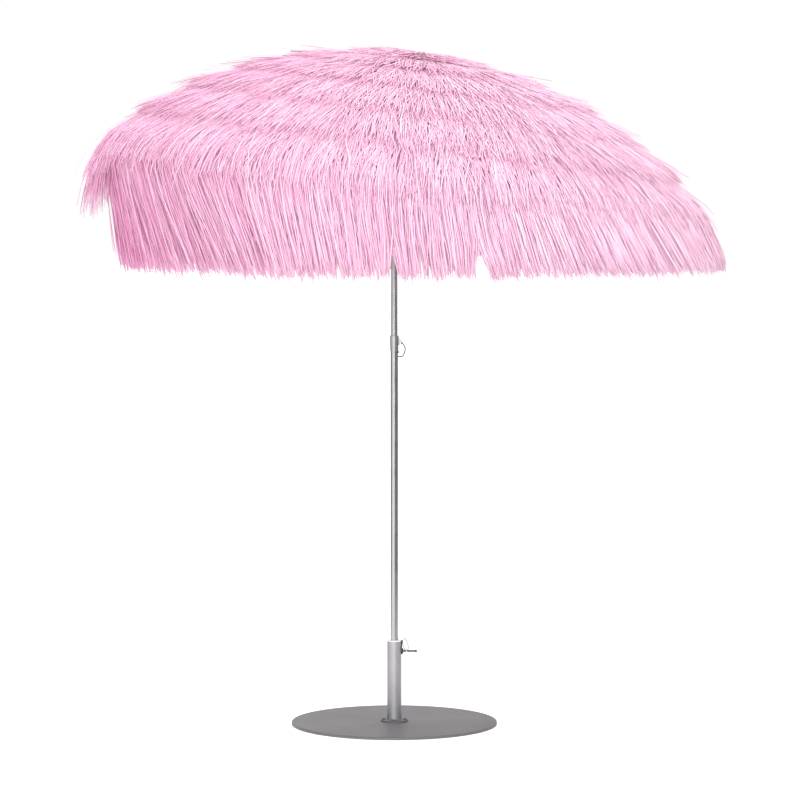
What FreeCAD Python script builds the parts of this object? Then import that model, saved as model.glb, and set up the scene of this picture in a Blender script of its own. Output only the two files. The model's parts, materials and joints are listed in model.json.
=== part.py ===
import FreeCAD, Part
import math
import os

# A thatched beach parasol on a telescoping steel pole, standing in a round steel plate base.
# Millimetres, +Z up. The origin is the centre of the plate's underside, on the pole's axis.
# The canopy leans about a knuckle in the pole. Its parts are drawn upright about that pivot,
# as if it were the origin, and then placed and leaned by in_canopy().

Vector = FreeCAD.Vector
ORIGIN = Vector(0, 0, 0)
X_AXIS = Vector(1, 0, 0)
Y_AXIS = Vector(0, 1, 0)
Z_AXIS = Vector(0, 0, 1)

# Base
PLATE_RADIUS = 300.0
PLATE_THICKNESS = 8.0
PLATE_CHAMFER = 1.5
FLANGE_RADIUS = 40.0
FLANGE_THICKNESS = 4.0
SCREW_CIRCLE_RADIUS = 31.0
SCREW_COUNT = 4
WELD_LEG = 3.5
PLATE_SCREW_RADIUS = 3.0
PLATE_SCREW_HEAD_RADIUS = 5.4
PLATE_SCREW_HEAD_HEIGHT = 3.4
PLATE_SCREW_CROWN = 1.6
PLATE_SCREW_BOTTOM = 0.8
SOCKET_RADIUS = 2.3
SOCKET_FLOOR = 1.4
BASE_TUBE_RADIUS = 21.2
BASE_TUBE_BORE = 19.2
BASE_TUBE_TOP = 243.0
CUP_HEIGHT = 25.0
CUP_MOUTH = 6.0
CUP_LIP = 2.0
INSERT_FLANGE_RADIUS = 20.6
INSERT_FLANGE_HEIGHT = 3.0
INSERT_ROUNDING = 1.2
INSERT_SKIRT = 23.0

# Pole clamp on the base tube
CLAMP_Z = 214.0
CLAMP_SCREW_RADIUS = 3.0
CLAMP_BOSS_RADIUS = 10.0
CLAMP_BOSS_END = 26.7
CLAMP_BOSS_CHAMFER = 4.0
STRAP_THICKNESS = 2.0
STRAP_HALF_WIDTH = 6.5
CLAMP_EYE_X = 36.0
CLAMP_EYE_WIDTH = 8.0
CLAMP_EYE_THICKNESS = 5.0
CLAMP_EYE_HOLE = 2.8
CLAMP_SCREW_END = 66.0
CLAMP_KNOB_RADIUS = 4.2
CLAMP_KNOB_LENGTH = 5.0
CLAMP_KNOB_ROUNDING = 1.0
CLAMP_RING_RADIUS = 18.5
CLAMP_RING_WIRE = 1.1
CLAMP_RING_LEAN = 11.0
CLAMP_RING_YAW = 24.0

# Poles
LOWER_POLE_RADIUS = 11.0
LOWER_POLE_BORE = 10.0
LOWER_POLE_BOTTOM = 12.2
LOWER_POLE_TOP = 1130.0
PLUG_GAP = 0.2
PLUG_CHAMFER = 1.5
PLUG_STEM = 28.0
UPPER_POLE_RADIUS = 9.5
UPPER_POLE_BORE = 8.3
UPPER_POLE_BOTTOM = 787.0
BUSH_FLANGE = 4.0
BUSH_STEM = 24.0
BUSH_BORE = 5.5
RIVET_Z = 1088.5
RIVET_SHANK = 1.6
RIVET_BALL = 3.2
RIVET_SINK = 0.6
COLLAR_BOTTOM = 1092.0
COLLAR_STEP = 1108.0
COLLAR_TOP = 1137.0
COLLAR_RADIUS = 12.6
COLLAR_SKIRT_RADIUS = 12.0
COLLAR_ROUNDING = 0.9
PIN_Z = 1076.0
PIN_WIRE = 1.6
PIN_HOLE_RADIUS = 3.75
HEIGHT_HOLE_RADIUS = 3.0
HEIGHT_HOLE_PITCH = 30.0
HEIGHT_HOLES_BELOW = 5
HEIGHT_HOLES_ABOVE = 6
EYE_X = 20.5
EYE_Z = 1117.0
EYE_LUG_RADIUS = 5.0
EYE_LUG_THICKNESS = 3.0
EYE_HOLE_RADIUS = 2.6
LINK_RADIUS = 4.2
LINK_WIRE = 1.5
PIN_BULGE_X = 31.4
PIN_BULGE_Z = 1097.0
PIN_SHOULDER_X = 26.0
PIN_SHOULDER_RISE = 3.4
PIN_BEND_X = 19.0
PIN_LEAVING = Vector(10, 0, -12)
PIN_ARRIVING = Vector(-12, 0, 0)

# Tilting knuckle, with its pivot on the pole's axis
PIVOT_Z = 1365.0
TILT = 7.5
KNUCKLE_RADIUS = 12.5
KNUCKLE_BOTTOM = -35.0
KNUCKLE_SHOULDER = -14.0
TONGUE_HALF_WIDTH = 4.7
TONGUE_GAP = 0.4
CHEEK_RADIUS = 12.0
TONGUE_RADIUS = 11.0
TILT_PIN_RADIUS = 3.0
UPPER_KNUCKLE_FOOT = 14.0
UPPER_KNUCKLE_TOP = 25.0
UPPER_KNUCKLE_ROUNDING = 1.2
POLE_DEPTH_IN_KNUCKLE = 11.0
SPIGOT_LENGTH = 26.0
PIN_HEAD_RADIUS = 4.4
PIN_HEAD_HEIGHT = 1.3
TILT_BUTTON_Z = -25.0
TILT_BUTTON_RADIUS = 4.0
TILT_BUTTON_PROUD = 3.4
TILT_BUTTON_TRAVEL = 2.0

# Canopy frame, in the upright canopy's own place: z is above the pivot
RIB_COUNT = 8
HINGE_RADIUS = 22.0
HUB_Z = 560.0
CANOPY_POLE_TOP = 562.0
RIB_TIP_RADIUS = 860.0
RIB_TIP_Z = 230.0
RIB_ARC_RADIUS = 1265.0
RIB_WIRE = 2.25
STRETCHER_WIRE = 2.0
CLIP_DISTANCE = 265.0
CLIP_DROP = 8.0
CLIP_HALF_LENGTH = 7.0
CLIP_HALF_WIDTH = 4.2
CLIP_HALF_GAP = 2.0
CLIP_TOP = 3.4
CLIP_ROOF = -3.6
CLIP_CHEEK_RADIUS = 5.0
RIVET_RADIUS = 1.5
RIVET_HEAD_RADIUS = 2.4
RIVET_HEAD_HEIGHT = 0.9
EYE_RADIUS = 4.0
RIB_EYE_HALF_WIDTH = 1.8
STRETCHER_EYE_HALF_WIDTH = 1.6
STRETCHER_NECK = 14.0
STRETCHER_NECK_HALF_HEIGHT = 2.4
RING_HOLE_RADIUS = 1.4
RIB_START = 3.0
RIB_CAP_LENGTH = 24.0
RIB_CAP_RADIUS = 3.8
RUNNER_DROP = 130.0
RIB_FOLD = 56.5
NOTCH_RADIUS = 26.0
NOTCH_HALF_HEIGHT = 8.0
NOTCH_SLEEVE = 18.0
NOTCH_SLOT_WIDTH = 5.4
NOTCH_SLOT_FLOOR = 16.0
NOTCH_RING_WIRE = 1.0
CAP_STEM_RADIUS = 6.0
CAP_STEM_HEIGHT = 6.0
CAP_RADIUS = 34.0
CAP_THICKNESS = 4.0
CAP_ROUNDING = 1.4
RUNNER_BORE = 9.8
RUNNER_BARREL = 13.0
RUNNER_BELOW = 34.0
RUNNER_ABOVE = 8.0
RUNNER_CROWN = 6.0
RUNNER_GRIP_RADIUS = 16.0
RUNNER_GRIP_HEIGHT = 5.0
RUNNER_GRIP_ROUNDING = 1.5
RUNNER_SLOT_WIDTH = 5.0
RUNNER_SLOT_FLOOR = 16.5
LATCH_AZIMUTH = -67.5
LATCH_DROP = 18.0
LATCH_RADIUS = 3.4
LATCH_BORE = 3.7
LATCH_KNOB_RADIUS = 5.5
LATCH_KNOB_GAP = 2.2
LATCH_KNOB_END = 6.0

# Soft covering, made as plain thin shells
THATCH_RADIUS = 1290.0
THATCH_TOP = 592.0
THATCH_RIM = 870.0
THATCH_EYE = 30.0
SHELL = 2.5
GORE_HALF_ANGLE = 22.4
FRINGE_BOTTOM_Z = 1345.0
FRINGE_BOTTOM_RADIUS = 905.0
FRINGE_BOTTOM_X = 42.0
FRINGE_GAP = 1.5

# Clearances
SLIDING_FIT = 0.08
LOOSE_FIT = 0.32
CLOSE_FIT = 0.05
SCREW_CLEARANCE = 0.4
BEYOND = 100.0
TOLERANCE = 0.001


def cylinder(radius, low, high, x=0.0, y=0.0):
    return Part.makeCylinder(radius, high - low, Vector(x, y, low))


def ring(outer, inner, low, high):
    return cylinder(outer, low, high).cut(cylinder(inner, low - BEYOND, high + BEYOND))


def bar_x(radius, low, high, y=0.0, z=0.0):
    return Part.makeCylinder(radius, high - low, Vector(low, y, z), X_AXIS)


def bar_y(radius, half_width, x=0.0, z=0.0):
    return Part.makeCylinder(radius, 2 * half_width, Vector(x, -half_width, z), Y_AXIS)


def block(x_low, x_high, half_width, z_low, z_high):
    corner = Vector(x_low, -half_width, z_low)
    return Part.makeBox(x_high - x_low, 2 * half_width, z_high - z_low, corner)


def rims(shape, radius, place=None, axis=Z_AXIS):
    """A shape's circular edges of one radius, all of them or those at one place along an axis."""
    found = []
    for edge in shape.Edges:
        curve = edge.Curve
        if isinstance(curve, Part.Circle) and abs(curve.Radius - radius) < TOLERANCE:
            if place is None or abs(curve.Center.dot(axis) - place) < TOLERANCE:
                found.append(edge)
    return found


def at_angles(shape, count):
    """Copies of a shape, evenly spaced about the Z axis."""
    copies = []
    for number in range(count):
        copy = shape.copy()
        copy.rotate(ORIGIN, Z_AXIS, number * 360.0 / count)
        copies.append(copy)
    return copies


def in_canopy(shape, azimuth=0.0):
    """Puts an upright canopy part at its azimuth, on the pivot, leaning with the canopy."""
    placed = shape.copy()
    placed.rotate(ORIGIN, Z_AXIS, azimuth)
    placed.translate(Vector(0, 0, PIVOT_Z))
    placed.rotate(Vector(0, 0, PIVOT_Z), Y_AXIS, TILT)
    return placed


def in_plane(radius, height):
    """A point in the plane of a rib at azimuth 0."""
    return Vector(radius, 0, height)


def arc_bar(centre, start, angle, radius):
    """A round bar bent along an arc in the XZ plane, from start through an angle about +Y."""
    spoke = start.sub(centre)
    direction = Y_AXIS.cross(spoke)
    face = Part.Face(Part.Wire([Part.makeCircle(radius, start, direction)]))
    return face.revolve(centre, Y_AXIS, angle)


# ---------------------------------------------------------------- the linkage

def rib_geometry():
    """The rib's arc, its clip and the runner's travel, all in the plane at azimuth 0."""
    hinge = in_plane(HINGE_RADIUS, HUB_Z)
    tip = in_plane(RIB_TIP_RADIUS, RIB_TIP_Z)
    chord = tip.sub(hinge)
    half = chord.Length / 2
    half_angle = math.degrees(math.asin(half / RIB_ARC_RADIUS))
    below = chord.cross(Y_AXIS).normalize()
    if below.z > 0:
        below = below.negative()
    middle = hinge.add(tip).multiply(0.5)
    centre = middle.add(below * (RIB_ARC_RADIUS * math.cos(math.radians(half_angle))))
    clip_angle = 2 * math.degrees(math.asin(CLIP_DISTANCE / 2 / RIB_ARC_RADIUS))
    spoke = FreeCAD.Rotation(Y_AXIS, clip_angle).multVec(hinge.sub(centre))
    clip = centre.add(spoke)
    pivot = clip.sub(spoke.normalize() * CLIP_DROP)
    return {
        "hinge": hinge,
        "tip": tip,
        "centre": centre,
        "arc_angle": 2 * half_angle,
        "clip": clip,
        "pivot": pivot,
    }


def linkage():
    """Runner travel and the stretcher's turn on the rib, between open and folded."""
    rib = rib_geometry()
    arm = rib["pivot"].sub(rib["hinge"])
    runner = in_plane(HINGE_RADIUS, HUB_Z - RUNNER_DROP)
    stretcher = runner.sub(rib["pivot"])
    folded_arm = FreeCAD.Rotation(Y_AXIS, RIB_FOLD).multVec(arm)
    reach = folded_arm.x
    folded_drop = -folded_arm.z + math.sqrt(stretcher.Length ** 2 - reach ** 2)
    open_angle = math.degrees(math.atan2(-stretcher.z, -stretcher.x))
    folded_angle = math.degrees(math.atan2(folded_drop + folded_arm.z, reach))
    return {
        "runner": runner,
        "length": stretcher.Length,
        "travel": folded_drop - RUNNER_DROP,
        "folded_drop": folded_drop,
        "stretcher_turn": -(folded_angle - open_angle) - RIB_FOLD,
    }


# ---------------------------------------------------------------- base

def base_plate():
    plate = cylinder(PLATE_RADIUS, 0, PLATE_THICKNESS)
    plate = plate.makeChamfer(PLATE_CHAMFER, rims(plate, PLATE_RADIUS, PLATE_THICKNESS))
    hole = cylinder(PLATE_SCREW_RADIUS, -BEYOND, BEYOND, x=SCREW_CIRCLE_RADIUS)
    return plate.cut(Part.makeCompound(at_angles(hole, SCREW_COUNT)))


def foot_flange():
    top = PLATE_THICKNESS + FLANGE_THICKNESS
    flange = ring(FLANGE_RADIUS, BASE_TUBE_RADIUS, PLATE_THICKNESS, top)
    hole = cylinder(PLATE_SCREW_RADIUS + SCREW_CLEARANCE, 0, BEYOND, x=SCREW_CIRCLE_RADIUS)
    flange = flange.cut(Part.makeCompound(at_angles(hole, SCREW_COUNT)))
    bead_face = Part.Face(Part.makePolygon([
        Vector(BASE_TUBE_RADIUS, 0, top),
        Vector(BASE_TUBE_RADIUS + WELD_LEG, 0, top),
        Vector(BASE_TUBE_RADIUS, 0, top + WELD_LEG),
        Vector(BASE_TUBE_RADIUS, 0, top),
    ]))
    return flange.fuse(bead_face.revolve(ORIGIN, Z_AXIS, 360)).removeSplitter()


def flange_screws():
    seat = PLATE_THICKNESS + FLANGE_THICKNESS
    top = seat + PLATE_SCREW_HEAD_HEIGHT
    x = SCREW_CIRCLE_RADIUS
    shank = cylinder(PLATE_SCREW_RADIUS - CLOSE_FIT, PLATE_SCREW_BOTTOM, seat, x=x)
    head = cylinder(PLATE_SCREW_HEAD_RADIUS, seat, top, x=x)
    head = head.makeFillet(PLATE_SCREW_CROWN, rims(head, PLATE_SCREW_HEAD_RADIUS, top))
    corners = []
    for number in range(7):
        turn = math.radians(60 * number)
        across = Vector(SOCKET_RADIUS * math.cos(turn), SOCKET_RADIUS * math.sin(turn), 0)
        corners.append(across.add(Vector(x, 0, seat + SOCKET_FLOOR)))
    socket = Part.Face(Part.makePolygon(corners)).extrude(Z_AXIS * BEYOND)
    screw = shank.fuse(head).cut(socket)
    return Part.makeCompound(at_angles(screw, SCREW_COUNT))


def base_tube():
    tube = ring(BASE_TUBE_RADIUS, BASE_TUBE_BORE, PLATE_THICKNESS, BASE_TUBE_TOP)
    return tube.cut(bar_x(CLAMP_SCREW_RADIUS + SCREW_CLEARANCE, 0, BEYOND, z=CLAMP_Z))


def tube_foot_cup():
    top = PLATE_THICKNESS + CUP_HEIGHT
    bore = LOWER_POLE_RADIUS + LOOSE_FIT
    cup = ring(BASE_TUBE_BORE - SLIDING_FIT, bore, PLATE_THICKNESS, top)
    mouth = Part.makeCone(bore, BASE_TUBE_BORE - CUP_LIP, CUP_MOUTH, Vector(0, 0, top - CUP_MOUTH))
    return cup.cut(mouth)


def reducer_insert():
    top = BASE_TUBE_TOP + INSERT_FLANGE_HEIGHT
    flange = cylinder(INSERT_FLANGE_RADIUS, BASE_TUBE_TOP, top)
    flange = flange.makeFillet(INSERT_ROUNDING, rims(flange, INSERT_FLANGE_RADIUS, top))
    skirt = cylinder(BASE_TUBE_BORE - SLIDING_FIT, BASE_TUBE_TOP - INSERT_SKIRT, BASE_TUBE_TOP)
    body = flange.fuse(skirt)
    return body.cut(cylinder(LOWER_POLE_RADIUS + SLIDING_FIT, 0, top + BEYOND)).removeSplitter()


# ---------------------------------------------------------------- pole clamp

def clamp_boss():
    boss = bar_x(CLAMP_BOSS_RADIUS, BASE_TUBE_BORE, CLAMP_BOSS_END, z=CLAMP_Z)
    outer_rim = rims(boss, CLAMP_BOSS_RADIUS, CLAMP_BOSS_END, X_AXIS)
    boss = boss.makeChamfer(CLAMP_BOSS_CHAMFER, outer_rim)
    strap_top = BASE_TUBE_TOP + INSERT_FLANGE_HEIGHT
    strap = block(BASE_TUBE_BORE, BASE_TUBE_RADIUS + STRAP_THICKNESS, STRAP_HALF_WIDTH,
                  CLAMP_Z, strap_top)
    body = boss.fuse(strap)
    body = body.cut(cylinder(BASE_TUBE_RADIUS, 0, strap_top + BEYOND))
    return body.cut(bar_x(CLAMP_SCREW_RADIUS + CLOSE_FIT, 0, BEYOND, z=CLAMP_Z))


def clamp_screw():
    """A screw with its middle flattened into an eye, and a knob on its end."""
    tip = LOWER_POLE_RADIUS + LOOSE_FIT
    shaft = bar_x(CLAMP_SCREW_RADIUS, tip, CLAMP_SCREW_END, z=CLAMP_Z)
    half = CLAMP_EYE_WIDTH / 2
    eye_low = CLAMP_EYE_X - half
    eye_high = CLAMP_EYE_X + half
    eye = block(eye_low, eye_high, CLAMP_EYE_THICKNESS / 2, CLAMP_Z - half, CLAMP_Z + half)
    knob = bar_x(CLAMP_KNOB_RADIUS, CLAMP_SCREW_END - CLAMP_KNOB_LENGTH, CLAMP_SCREW_END, z=CLAMP_Z)
    knob = knob.makeFillet(CLAMP_KNOB_ROUNDING, rims(knob, CLAMP_KNOB_RADIUS))
    waste = bar_x(2 * half, eye_low, eye_high, z=CLAMP_Z).cut(eye)
    body = shaft.fuse([eye, knob]).cut(waste)
    return body.cut(bar_y(CLAMP_EYE_HOLE, BEYOND, x=CLAMP_EYE_X, z=CLAMP_Z)).removeSplitter()


def clamp_ring():
    lean = math.radians(CLAMP_RING_LEAN)
    yaw = math.radians(CLAMP_RING_YAW)
    up = Vector(-math.sin(lean), 0, math.cos(lean))
    side = Vector(-math.sin(yaw), math.cos(yaw), 0)
    side = side.sub(up * side.dot(up)).normalize()
    centre = Vector(CLAMP_EYE_X, 0, CLAMP_Z).add(up * CLAMP_RING_RADIUS)
    return Part.makeTorus(CLAMP_RING_RADIUS, CLAMP_RING_WIRE, centre, up.cross(side))


# ---------------------------------------------------------------- poles

def lower_pole():
    pole = ring(LOWER_POLE_RADIUS, LOWER_POLE_BORE, LOWER_POLE_BOTTOM, LOWER_POLE_TOP)
    pole = pole.cut(bar_x(RIVET_SHANK, 0, BEYOND, z=RIVET_Z))
    return pole.cut(bar_x(PIN_HOLE_RADIUS, 0, BEYOND, z=PIN_Z))


def pole_foot_plug():
    bottom = PLATE_THICKNESS + PLUG_GAP
    flange = cylinder(LOWER_POLE_RADIUS, bottom, LOWER_POLE_BOTTOM)
    flange = flange.makeChamfer(PLUG_CHAMFER, rims(flange, LOWER_POLE_RADIUS, bottom))
    stem = cylinder(LOWER_POLE_BORE - CLOSE_FIT, LOWER_POLE_BOTTOM, LOWER_POLE_BOTTOM + PLUG_STEM)
    return flange.fuse(stem).removeSplitter()


def pole_rivet():
    """A small guide rivet in the lower pole's wall, between the collar and the pin hole."""
    wall_top = LOWER_POLE_RADIUS + CLOSE_FIT
    shank = bar_x(RIVET_SHANK - CLOSE_FIT, LOWER_POLE_BORE, LOWER_POLE_RADIUS + RIVET_SINK, z=RIVET_Z)
    shank = shank.cut(cylinder(LOWER_POLE_BORE, 0, LOWER_POLE_TOP))
    ball = Part.makeSphere(RIVET_BALL, Vector(LOWER_POLE_RADIUS - RIVET_SINK, 0, RIVET_Z))
    dome = ball.cut(cylinder(wall_top, 0, LOWER_POLE_TOP))
    return shank.fuse(dome).removeSplitter()


def pole_collar():
    sleeve = cylinder(COLLAR_RADIUS, COLLAR_STEP, COLLAR_TOP)
    sleeve = sleeve.makeFillet(COLLAR_ROUNDING, rims(sleeve, COLLAR_RADIUS, COLLAR_TOP))
    skirt = cylinder(COLLAR_SKIRT_RADIUS, COLLAR_BOTTOM, COLLAR_STEP)
    eye = Vector(EYE_X, 0, EYE_Z)
    top_root = Vector(LOWER_POLE_RADIUS, 0, COLLAR_TOP - 2 * COLLAR_ROUNDING)
    low_root = Vector(LOWER_POLE_RADIUS, 0, COLLAR_STEP)
    upper = tangent_point(top_root, eye, 1)
    lower = tangent_point(low_root, eye, -1)
    outline = Part.makePolygon([top_root, upper, eye, lower, low_root, top_root])
    web = Part.Face(outline).extrude(Y_AXIS * EYE_LUG_THICKNESS)
    web.translate(Y_AXIS * (-EYE_LUG_THICKNESS / 2))
    boss = bar_y(EYE_LUG_RADIUS, EYE_LUG_THICKNESS / 2, x=EYE_X, z=EYE_Z)
    body = sleeve.fuse([skirt, web, boss])
    body = body.cut(bar_y(EYE_HOLE_RADIUS, BEYOND, x=EYE_X, z=EYE_Z))
    body = body.cut(cylinder(LOWER_POLE_RADIUS + CLOSE_FIT, 0, LOWER_POLE_TOP))
    return body.cut(cylinder(UPPER_POLE_RADIUS + SLIDING_FIT, 0, COLLAR_TOP + BEYOND)).removeSplitter()


def tangent_point(outside, centre, side):
    """Where a line from an outside point touches the lug's round end."""
    to_centre = centre.sub(outside)
    angle = math.acos(EYE_LUG_RADIUS / to_centre.Length)
    back = to_centre.negative().normalize()
    spoke = FreeCAD.Rotation(Y_AXIS, math.degrees(angle) * side).multVec(back)
    return centre.add(spoke * EYE_LUG_RADIUS)


def height_pin():
    """A small ring in the collar's eye, carrying a bowed wire that bends back into the pole."""
    eye = Vector(EYE_X, 0, EYE_Z)
    outward = Vector(1, 0, -1).normalize()
    link_centre = eye.add(outward * LINK_RADIUS)
    link = Part.makeTorus(LINK_RADIUS, LINK_WIRE, link_centre, outward.cross(Y_AXIS))
    start = link_centre.add(outward * LINK_RADIUS)
    bulge = Vector(PIN_BULGE_X, 0, PIN_BULGE_Z)
    shoulder = Vector(PIN_SHOULDER_X, 0, PIN_Z + PIN_SHOULDER_RISE)
    bend = Vector(PIN_BEND_X, 0, PIN_Z)
    bow = Part.BSplineCurve()
    bow.interpolate([start, bulge, shoulder, bend], InitialTangent=PIN_LEAVING, FinalTangent=PIN_ARRIVING)
    path = Part.Wire([bow.toShape()])
    profile = Part.Wire([Part.makeCircle(PIN_WIRE, start, PIN_LEAVING)])
    bowed = path.makePipeShell([profile], True, False)
    straight = bar_x(PIN_WIRE, UPPER_POLE_RADIUS + SCREW_CLEARANCE, PIN_BEND_X, z=PIN_Z)
    return link.fuse([bowed, straight]).removeSplitter()


def upper_pole():
    top = PIVOT_Z + KNUCKLE_BOTTOM + POLE_DEPTH_IN_KNUCKLE
    pole = ring(UPPER_POLE_RADIUS, UPPER_POLE_BORE, UPPER_POLE_BOTTOM, top)
    holes = []
    for number in range(-HEIGHT_HOLES_BELOW, HEIGHT_HOLES_ABOVE + 1):
        z = PIN_Z + number * HEIGHT_HOLE_PITCH
        holes.append(bar_x(HEIGHT_HOLE_RADIUS, 0, BEYOND, z=z))
    return pole.cut(Part.makeCompound(holes))


def upper_pole_bush():
    bottom = UPPER_POLE_BOTTOM - BUSH_FLANGE
    flange = cylinder(LOWER_POLE_BORE - SLIDING_FIT, bottom, UPPER_POLE_BOTTOM)
    stem = cylinder(UPPER_POLE_BORE - CLOSE_FIT, UPPER_POLE_BOTTOM, UPPER_POLE_BOTTOM + BUSH_STEM)
    bore = cylinder(BUSH_BORE, bottom - BEYOND, UPPER_POLE_BOTTOM + BEYOND)
    return flange.fuse(stem).cut(bore).removeSplitter()


# ---------------------------------------------------------------- tilting knuckle

def tilt_lower_knuckle():
    """A socket over the upper pole with two cheeks about the pivot. It doesn't lean."""
    body = cylinder(KNUCKLE_RADIUS, KNUCKLE_BOTTOM, KNUCKLE_SHOULDER)
    cheeks = bar_y(CHEEK_RADIUS, KNUCKLE_RADIUS)
    stand = block(-CHEEK_RADIUS, CHEEK_RADIUS, KNUCKLE_RADIUS, KNUCKLE_SHOULDER, 0)
    both = cheeks.fuse(stand).common(cylinder(KNUCKLE_RADIUS, KNUCKLE_SHOULDER, KNUCKLE_RADIUS))
    body = body.fuse(both)
    gap = TONGUE_HALF_WIDTH + TONGUE_GAP
    pole_top = KNUCKLE_BOTTOM + POLE_DEPTH_IN_KNUCKLE
    button_bore = bar_x(TILT_BUTTON_RADIUS + 2 * SLIDING_FIT, -BEYOND, 0, z=TILT_BUTTON_Z)
    keep = cylinder(UPPER_POLE_RADIUS + 2 * SLIDING_FIT, KNUCKLE_BOTTOM, KNUCKLE_SHOULDER)
    body = body.cut(block(-BEYOND, BEYOND, gap, KNUCKLE_SHOULDER + TONGUE_GAP, BEYOND))
    body = body.cut(cylinder(UPPER_POLE_RADIUS, KNUCKLE_BOTTOM - BEYOND, pole_top))
    body = body.cut(bar_y(TILT_PIN_RADIUS, BEYOND))
    body = body.cut(button_bore.cut(keep)).removeSplitter()
    body.translate(Vector(0, 0, PIVOT_Z))
    return body


def tilt_upper_knuckle():
    """A tongue between the cheeks, with a round head and a spigot in the canopy's pole."""
    tongue = bar_y(TONGUE_RADIUS, TONGUE_HALF_WIDTH)
    neck = block(-TONGUE_RADIUS, TONGUE_RADIUS, TONGUE_HALF_WIDTH, 0, UPPER_KNUCKLE_FOOT)
    head = cylinder(KNUCKLE_RADIUS, UPPER_KNUCKLE_FOOT, UPPER_KNUCKLE_TOP)
    head = head.makeFillet(UPPER_KNUCKLE_ROUNDING, rims(head, KNUCKLE_RADIUS, UPPER_KNUCKLE_TOP))
    spigot = cylinder(UPPER_POLE_BORE - CLOSE_FIT, UPPER_KNUCKLE_TOP, UPPER_KNUCKLE_TOP + SPIGOT_LENGTH)
    body = tongue.fuse([neck, head, spigot])
    return in_canopy(body.cut(bar_y(TILT_PIN_RADIUS + CLOSE_FIT, BEYOND)).removeSplitter())


def tilt_pin():
    """A pivot pin with a flat head at each end, seated on the knuckle's round outside."""
    pin = bar_y(TILT_PIN_RADIUS, KNUCKLE_RADIUS)
    heads = bar_y(PIN_HEAD_RADIUS, KNUCKLE_RADIUS + PIN_HEAD_HEIGHT)
    heads = heads.cut(cylinder(KNUCKLE_RADIUS, -BEYOND, BEYOND))
    body = pin.fuse(heads).removeSplitter()
    body.translate(Vector(0, 0, PIVOT_Z))
    return body


def tilt_button():
    outer = -KNUCKLE_RADIUS - TILT_BUTTON_PROUD
    inner = -UPPER_POLE_RADIUS - SCREW_CLEARANCE - TILT_BUTTON_TRAVEL
    button = bar_x(TILT_BUTTON_RADIUS, outer, inner, z=TILT_BUTTON_Z)
    button = button.makeFillet(UPPER_KNUCKLE_ROUNDING, rims(button, TILT_BUTTON_RADIUS, outer, X_AXIS))
    button.translate(Vector(0, 0, PIVOT_Z))
    return button


def canopy_pole():
    return in_canopy(ring(UPPER_POLE_RADIUS, UPPER_POLE_BORE, UPPER_KNUCKLE_TOP, CANOPY_POLE_TOP))


# ---------------------------------------------------------------- hub and runner

def slots(width, inner, low, high):
    cutter = block(inner, inner + BEYOND, width / 2, low, high)
    return Part.makeCompound(at_angles(cutter, RIB_COUNT))


def top_notch():
    low = HUB_Z - NOTCH_HALF_HEIGHT
    high = HUB_Z + NOTCH_HALF_HEIGHT
    disc = cylinder(NOTCH_RADIUS, low, high)
    sleeve = cylinder(RUNNER_BARREL, low - NOTCH_SLEEVE, low)
    body = disc.fuse(sleeve).cut(slots(NOTCH_SLOT_WIDTH, NOTCH_SLOT_FLOOR, low, high))
    groove = Part.makeTorus(HINGE_RADIUS, NOTCH_RING_WIRE + CLOSE_FIT, Vector(0, 0, HUB_Z), Z_AXIS)
    body = body.cut(groove).cut(cylinder(UPPER_POLE_RADIUS, 0, CANOPY_POLE_TOP))
    return in_canopy(body.removeSplitter())


def notch_ring():
    return in_canopy(Part.makeTorus(HINGE_RADIUS, NOTCH_RING_WIRE, Vector(0, 0, HUB_Z), Z_AXIS))


def top_cap():
    foot = HUB_Z + NOTCH_HALF_HEIGHT
    low = foot + CAP_STEM_HEIGHT
    stem = cylinder(CAP_STEM_RADIUS, foot, low)
    disc = cylinder(CAP_RADIUS, low, low + CAP_THICKNESS)
    disc = disc.makeFillet(CAP_ROUNDING, rims(disc, CAP_RADIUS))
    return in_canopy(stem.fuse(disc).removeSplitter())


def runner():
    plane = HUB_Z - RUNNER_DROP
    low = plane - RUNNER_BELOW
    barrel = cylinder(RUNNER_BARREL, low, plane + RUNNER_ABOVE)
    crown = cylinder(NOTCH_RADIUS, plane - RUNNER_CROWN, plane + RUNNER_CROWN)
    grip = cylinder(RUNNER_GRIP_RADIUS, low, low + RUNNER_GRIP_HEIGHT)
    grip = grip.makeFillet(RUNNER_GRIP_ROUNDING, rims(grip, RUNNER_GRIP_RADIUS))
    body = barrel.fuse([crown, grip])
    slot_reach = 2 * RUNNER_CROWN
    body = body.cut(slots(RUNNER_SLOT_WIDTH, RUNNER_SLOT_FLOOR, plane - slot_reach, plane + slot_reach))
    body = body.cut(cylinder(RUNNER_BORE, low - BEYOND, plane + BEYOND))
    return in_canopy(body.cut(latch_bar(LATCH_BORE, 0, BEYOND)).removeSplitter())


def latch_bar(radius, near, far):
    z = HUB_Z - RUNNER_DROP - LATCH_DROP
    bar = bar_x(radius, near, far, z=z)
    bar.rotate(ORIGIN, Z_AXIS, LATCH_AZIMUTH)
    return bar


def runner_latch():
    """A pin with a knob. Its inner end is hollowed to stay just outside the canopy's pole."""
    pin = latch_bar(LATCH_RADIUS, RUNNER_BORE, RUNNER_BARREL + LATCH_KNOB_GAP)
    knob = latch_bar(LATCH_KNOB_RADIUS, RUNNER_BARREL + LATCH_KNOB_GAP, RUNNER_BARREL + LATCH_KNOB_END)
    knob = knob.makeFillet(UPPER_KNUCKLE_ROUNDING, rims(knob, LATCH_KNOB_RADIUS))
    pin = pin.cut(cylinder(RUNNER_BORE, 0, HUB_Z))
    return in_canopy(pin.fuse(knob).removeSplitter())


# ---------------------------------------------------------------- ribs and stretchers

def eye_end(centre, half_width, hole):
    eye = bar_y(EYE_RADIUS, half_width, x=centre.x, z=centre.z)
    return eye.cut(bar_y(hole, BEYOND, x=centre.x, z=centre.z))


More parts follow.
